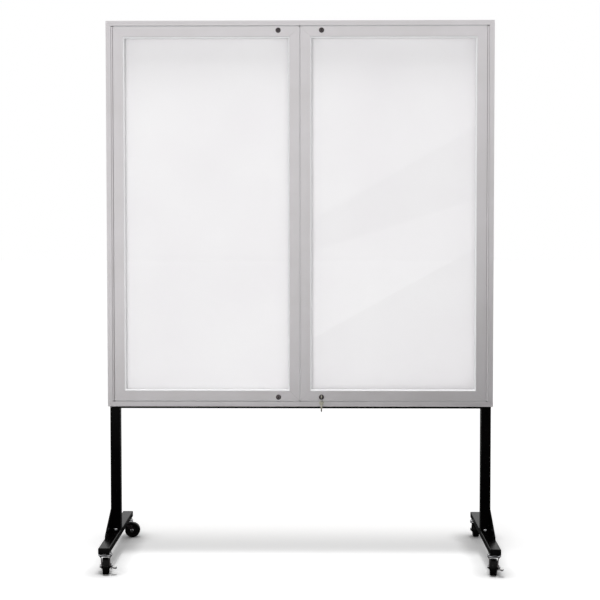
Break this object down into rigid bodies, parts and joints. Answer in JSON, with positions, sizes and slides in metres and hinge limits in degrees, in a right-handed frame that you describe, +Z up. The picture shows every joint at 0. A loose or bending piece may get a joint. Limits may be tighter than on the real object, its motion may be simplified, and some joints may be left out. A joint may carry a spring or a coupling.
{
  "type": "enclosed display board",
  "caption": "Tall enclosed tack board with two hinged glazed doors and cam locks, carried on a black tube stand with swivel casters.",
  "frame": {"origin": "on the floor, midway between the two feet and midway along them", "axes": "+Z up, the glazed doors face -Y, +X is the viewer's right from the front"},
  "size_m": [1.2339, 0.5435, 1.702],
  "materials": {
    "anodised_aluminium": "satin anodised",
    "white_panel": "matt white tackable face",
    "hardboard": "pressed board",
    "clear_acrylic": "clear, polished",
    "chrome": "bright",
    "zinc_steel": "zinc plated",
    "black_enamel": "gloss black",
    "black_wheel": "smooth black",
    "nickel_silver": "worn nickel silver"
  },
  "bodies": {
    "stand": {"cabinet_top_rail": "anodised_aluminium", "cabinet_bottom_rail": "anodised_aluminium", "cabinet_left_stile": "anodised_aluminium", "cabinet_right_stile": "anodised_aluminium", "back_panel": "hardboard", "tack_panel": "white_panel", "support_rail": "black_enamel", "left_post": "black_enamel", "right_post": "black_enamel", "left_foot": "black_enamel", "right_foot": "black_enamel", "left_gusset": "black_enamel", "right_gusset": "black_enamel", "left_foot_bolt": "zinc_steel", "right_foot_bolt": "zinc_steel", "left_hinge_fixed_leaf": "anodised_aluminium", "right_hinge_fixed_leaf": "anodised_aluminium", "left_hinge_pin": "zinc_steel", "right_hinge_pin": "zinc_steel", "caster_stem_front_left": "zinc_steel", "caster_stem_front_right": "zinc_steel", "caster_stem_rear_left": "zinc_steel", "caster_stem_rear_right": "zinc_steel"},
    "left_door": {"left_door_top_rail": "anodised_aluminium", "left_door_bottom_rail": "anodised_aluminium", "left_door_hinge_stile": "anodised_aluminium", "left_door_meeting_stile": "anodised_aluminium", "left_door_window": "clear_acrylic", "left_hinge_door_leaf": "anodised_aluminium", "lock_barrel_top_left": "chrome", "lock_barrel_bottom_left": "chrome"},
    "right_door": {"right_door_top_rail": "anodised_aluminium", "right_door_bottom_rail": "anodised_aluminium", "right_door_hinge_stile": "anodised_aluminium", "right_door_meeting_stile": "anodised_aluminium", "right_door_window": "clear_acrylic", "right_hinge_door_leaf": "anodised_aluminium", "lock_barrel_top_right": "chrome", "lock_barrel_bottom_right": "chrome"},
    "lock_top_left": {"lock_plug_top_left": "chrome"},
    "lock_bottom_left": {"lock_plug_bottom_left": "chrome"},
    "lock_top_right": {"lock_plug_top_right": "chrome"},
    "lock_bottom_right": {"lock_plug_bottom_right": "chrome"},
    "key": {"key": "nickel_silver"},
    "key_ring": {"key_ring": "zinc_steel"},
    "spare_key": {"spare_key": "nickel_silver"},
    "swivel_front_left": {"caster_fork_front_left": "zinc_steel", "caster_axle_front_left": "zinc_steel"},
    "swivel_front_right": {"caster_fork_front_right": "zinc_steel", "caster_axle_front_right": "zinc_steel"},
    "swivel_rear_left": {"caster_fork_rear_left": "zinc_steel", "caster_axle_rear_left": "zinc_steel"},
    "swivel_rear_right": {"caster_fork_rear_right": "zinc_steel", "caster_axle_rear_right": "zinc_steel"},
    "wheel_front_left": {"caster_wheel_front_left": "black_wheel"},
    "wheel_front_right": {"caster_wheel_front_right": "black_wheel"},
    "wheel_rear_left": {"caster_wheel_rear_left": "black_wheel"},
    "wheel_rear_right": {"caster_wheel_rear_right": "black_wheel"},
    "brake_front_left": {"brake_lever_front_left": "zinc_steel"},
    "brake_front_right": {"brake_lever_front_right": "zinc_steel"}
  },
  "joints": [
    {"name": "left_door_hinge", "type": "hinge", "parent": "stand", "child": "left_door", "pos_m": [-0.5904, -0.06118, 1.0945], "axis": [0, 0, -1], "range_deg": [0, 150]},
    {"name": "right_door_hinge", "type": "hinge", "parent": "stand", "child": "right_door", "pos_m": [0.5904, -0.06118, 1.0945], "axis": [0, 0, 1], "range_deg": [0, 150]},
    {"name": "lock_turn_top_left", "type": "hinge", "parent": "left_door", "child": "lock_top_left", "pos_m": [-0.068, -0.06118, 1.6715], "axis": [0, 1, 0], "range_deg": [0, 90]},
    {"name": "lock_turn_bottom_left", "type": "hinge", "parent": "left_door", "child": "lock_bottom_left", "pos_m": [-0.068, -0.06118, 0.5175], "axis": [0, -1, 0], "range_deg": [0, 90]},
    {"name": "lock_turn_top_right", "type": "hinge", "parent": "right_door", "child": "lock_top_right", "pos_m": [0.068, -0.06118, 1.6715], "axis": [0, -1, 0], "range_deg": [0, 90]},
    {"name": "lock_turn_bottom_right", "type": "hinge", "parent": "right_door", "child": "lock_bottom_right", "pos_m": [0.068, -0.06118, 0.5175], "axis": [0, 1, 0], "range_deg": [0, 90]},
    {"name": "key_slide", "type": "slide", "parent": "lock_bottom_right", "child": "key", "axis": [0, -1, 0], "range_m": [0, 0.024]},
    {"name": "key_ring_swing", "type": "hinge", "parent": "key", "child": "key_ring", "pos_m": [0.068, -0.07427, 0.5135], "axis": [-1, 0, 0], "range_deg": [-8, 40]},
    {"name": "spare_key_swing", "type": "hinge", "parent": "key_ring", "child": "spare_key", "pos_m": [0.068, -0.07427, 0.5045], "axis": [0, 1, 0], "range_deg": [-12, 12]},
    {"name": "swivel_turn_front_left", "type": "hinge", "parent": "stand", "child": "swivel_front_left", "pos_m": [-0.59372, -0.224, 0.055], "axis": [0, 0, 1], "continuous": true},
    {"name": "swivel_turn_front_right", "type": "hinge", "parent": "stand", "child": "swivel_front_right", "pos_m": [0.59372, -0.224, 0.055], "axis": [0, 0, 1], "continuous": true},
    {"name": "swivel_turn_rear_left", "type": "hinge", "parent": "stand", "child": "swivel_rear_left", "pos_m": [-0.59372, 0.224, 0.055], "axis": [0, 0, 1], "continuous": true},
    {"name": "swivel_turn_rear_right", "type": "hinge", "parent": "stand", "child": "swivel_rear_right", "pos_m": [0.59372, 0.224, 0.055], "axis": [0, 0, 1], "continuous": true},
    {"name": "wheel_spin_front_left", "type": "hinge", "parent": "swivel_front_left", "child": "wheel_front_left", "pos_m": [-0.58923, -0.24349, 0.0254], "axis": [0.9744, 0.225, 0], "continuous": true},
    {"name": "wheel_spin_front_right", "type": "hinge", "parent": "swivel_front_right", "child": "wheel_front_right", "pos_m": [0.58923, -0.24349, 0.0254], "axis": [0.9744, -0.225, 0], "continuous": true},
    {"name": "wheel_spin_rear_left", "type": "hinge", "parent": "swivel_rear_left", "child": "wheel_rear_left", "pos_m": [-0.57373, 0.224, 0.0254], "axis": [0, 1, 0], "continuous": true},
    {"name": "wheel_spin_rear_right", "type": "hinge", "parent": "swivel_rear_right", "child": "wheel_rear_right", "pos_m": [0.59372, 0.244, 0.0254], "axis": [1, 0, 0], "continuous": true},
    {"name": "brake_lift_front_left", "type": "hinge", "parent": "swivel_front_left", "child": "brake_front_left", "pos_m": [-0.58923, -0.24349, 0.0254], "axis": [-0.9744, -0.225, 0], "range_deg": [0, 25]},
    {"name": "brake_lift_front_right", "type": "hinge", "parent": "swivel_front_right", "child": "brake_front_right", "pos_m": [0.58923, -0.24349, 0.0254], "axis": [-0.9744, 0.225, 0], "range_deg": [0, 25]}
  ]
}
